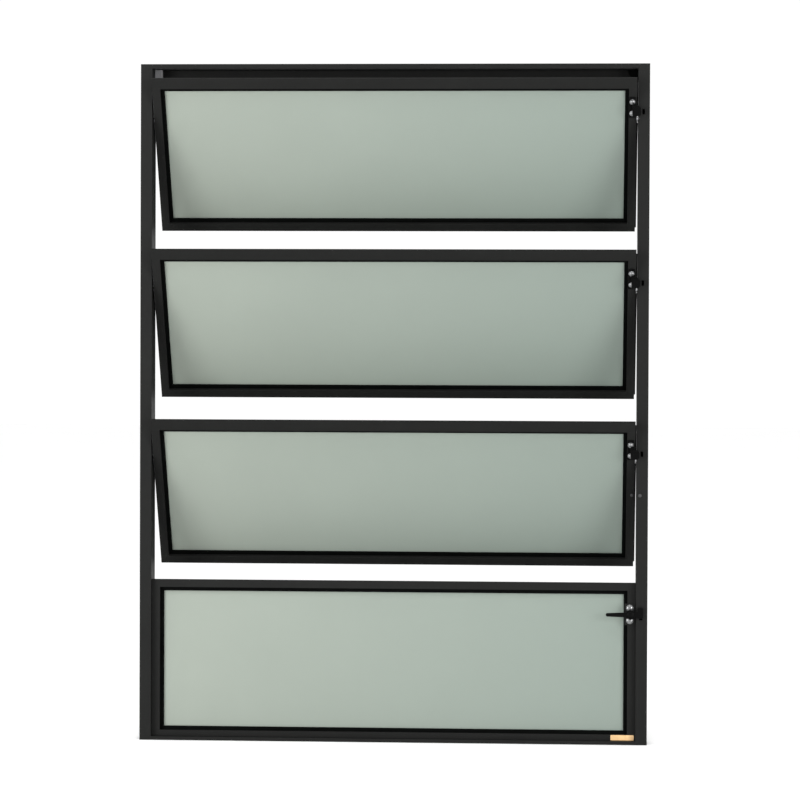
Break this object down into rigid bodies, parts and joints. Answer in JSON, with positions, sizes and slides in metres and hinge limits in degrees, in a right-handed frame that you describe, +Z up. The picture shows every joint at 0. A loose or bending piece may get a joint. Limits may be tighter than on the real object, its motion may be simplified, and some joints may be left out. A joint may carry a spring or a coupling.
{
  "type": "aluminium pivot window",
  "caption": "Narrow black aluminium pivot window: stacked glazed lights that tilt together by a lever and a hidden rod, above a fixed glazed light.",
  "frame": {"origin": "middle of the sill's flat underside, halfway through the frame's depth", "axes": "+X along the sill to the right seen from indoors, +Y outdoors, +Z up"},
  "size_m": [0.6, 0.1099, 0.8],
  "materials": {
    "frame_finish": "satin black powder coat",
    "glass": "grey-green float glass",
    "gasket": "matt black glazing rubber",
    "bushing_plastic": "black nylon",
    "pad_felt": "light grey buffer pad",
    "gusset_rubber": "matt black rubber",
    "steel_pins": "turned steel",
    "rod_metal": "mill finish flat bar",
    "hardware_black": "gloss black enamel on die casting"
  },
  "bodies": {
    "frame": {"frame_head": "frame_finish", "frame_sill": "frame_finish", "frame_jamb_left": "frame_finish", "frame_jamb_right": "frame_finish", "fixed_light_top_rail": "frame_finish", "fixed_light_bottom_rail": "frame_finish", "fixed_light_stile_left": "frame_finish", "fixed_light_stile_right": "frame_finish", "fixed_light_gasket": "gasket", "fixed_light_glass": "glass", "pivot_bushings_left": "bushing_plastic", "pivot_bushings_right": "bushing_plastic", "head_buffer_pad": "pad_felt", "head_corner_gusset": "gusset_rubber", "lever_base": "hardware_black"},
    "sash_1": {"sash_1_top_rail": "frame_finish", "sash_1_bottom_rail": "frame_finish", "sash_1_stile_left": "frame_finish", "sash_1_stile_right": "frame_finish", "sash_1_gasket": "gasket", "sash_1_glass": "glass", "sash_1_bracket": "hardware_black", "sash_1_pivot_pins": "steel_pins"},
    "sash_2": {"sash_2_top_rail": "frame_finish", "sash_2_bottom_rail": "frame_finish", "sash_2_stile_left": "frame_finish", "sash_2_stile_right": "frame_finish", "sash_2_gasket": "gasket", "sash_2_glass": "glass", "sash_2_bracket": "hardware_black", "sash_2_pivot_pins": "steel_pins"},
    "sash_3": {"sash_3_top_rail": "frame_finish", "sash_3_bottom_rail": "frame_finish", "sash_3_stile_left": "frame_finish", "sash_3_stile_right": "frame_finish", "sash_3_gasket": "gasket", "sash_3_glass": "glass", "sash_3_bracket": "hardware_black", "sash_3_pivot_pins": "steel_pins"},
    "rod": {"connecting_rod": "rod_metal"},
    "lever": {"lever_handle": "hardware_black"}
  },
  "joints": [
    {"name": "sash_1_pivot", "type": "hinge", "parent": "frame", "child": "sash_1", "pos_m": [0, 0, 0.735], "axis": [1, 0, 0], "range_deg": [-29, 29]},
    {"name": "sash_2_pivot", "type": "hinge", "parent": "frame", "child": "sash_2", "pos_m": [0, 0, 0.53433], "axis": [1, 0, 0], "range_deg": [-29, 29]},
    {"name": "sash_3_pivot", "type": "hinge", "parent": "frame", "child": "sash_3", "pos_m": [0, 0, 0.33367], "axis": [1, 0, 0], "range_deg": [-29, 29]},
    {"name": "rod_crank", "type": "hinge", "parent": "sash_1", "child": "rod", "pos_m": [0.29, -0.00855, 0.73598], "axis": [1, 0, 0], "range_deg": [-29, 29]},
    {"name": "lever_turn", "type": "hinge", "parent": "frame", "child": "lever", "pos_m": [0.2802, 0, 0.1535], "axis": [0, 1, 0], "range_deg": [-20.3, 20.3]}
  ],
  "couplings": [
    {"joint": "sash_2_pivot", "follows": "sash_1_pivot", "ratio": 1},
    {"joint": "sash_3_pivot", "follows": "sash_1_pivot", "ratio": 1},
    {"joint": "rod_crank", "follows": "sash_1_pivot", "ratio": -1},
    {"joint": "lever_turn", "follows": "sash_1_pivot", "ratio": 0.697}
  ]
}
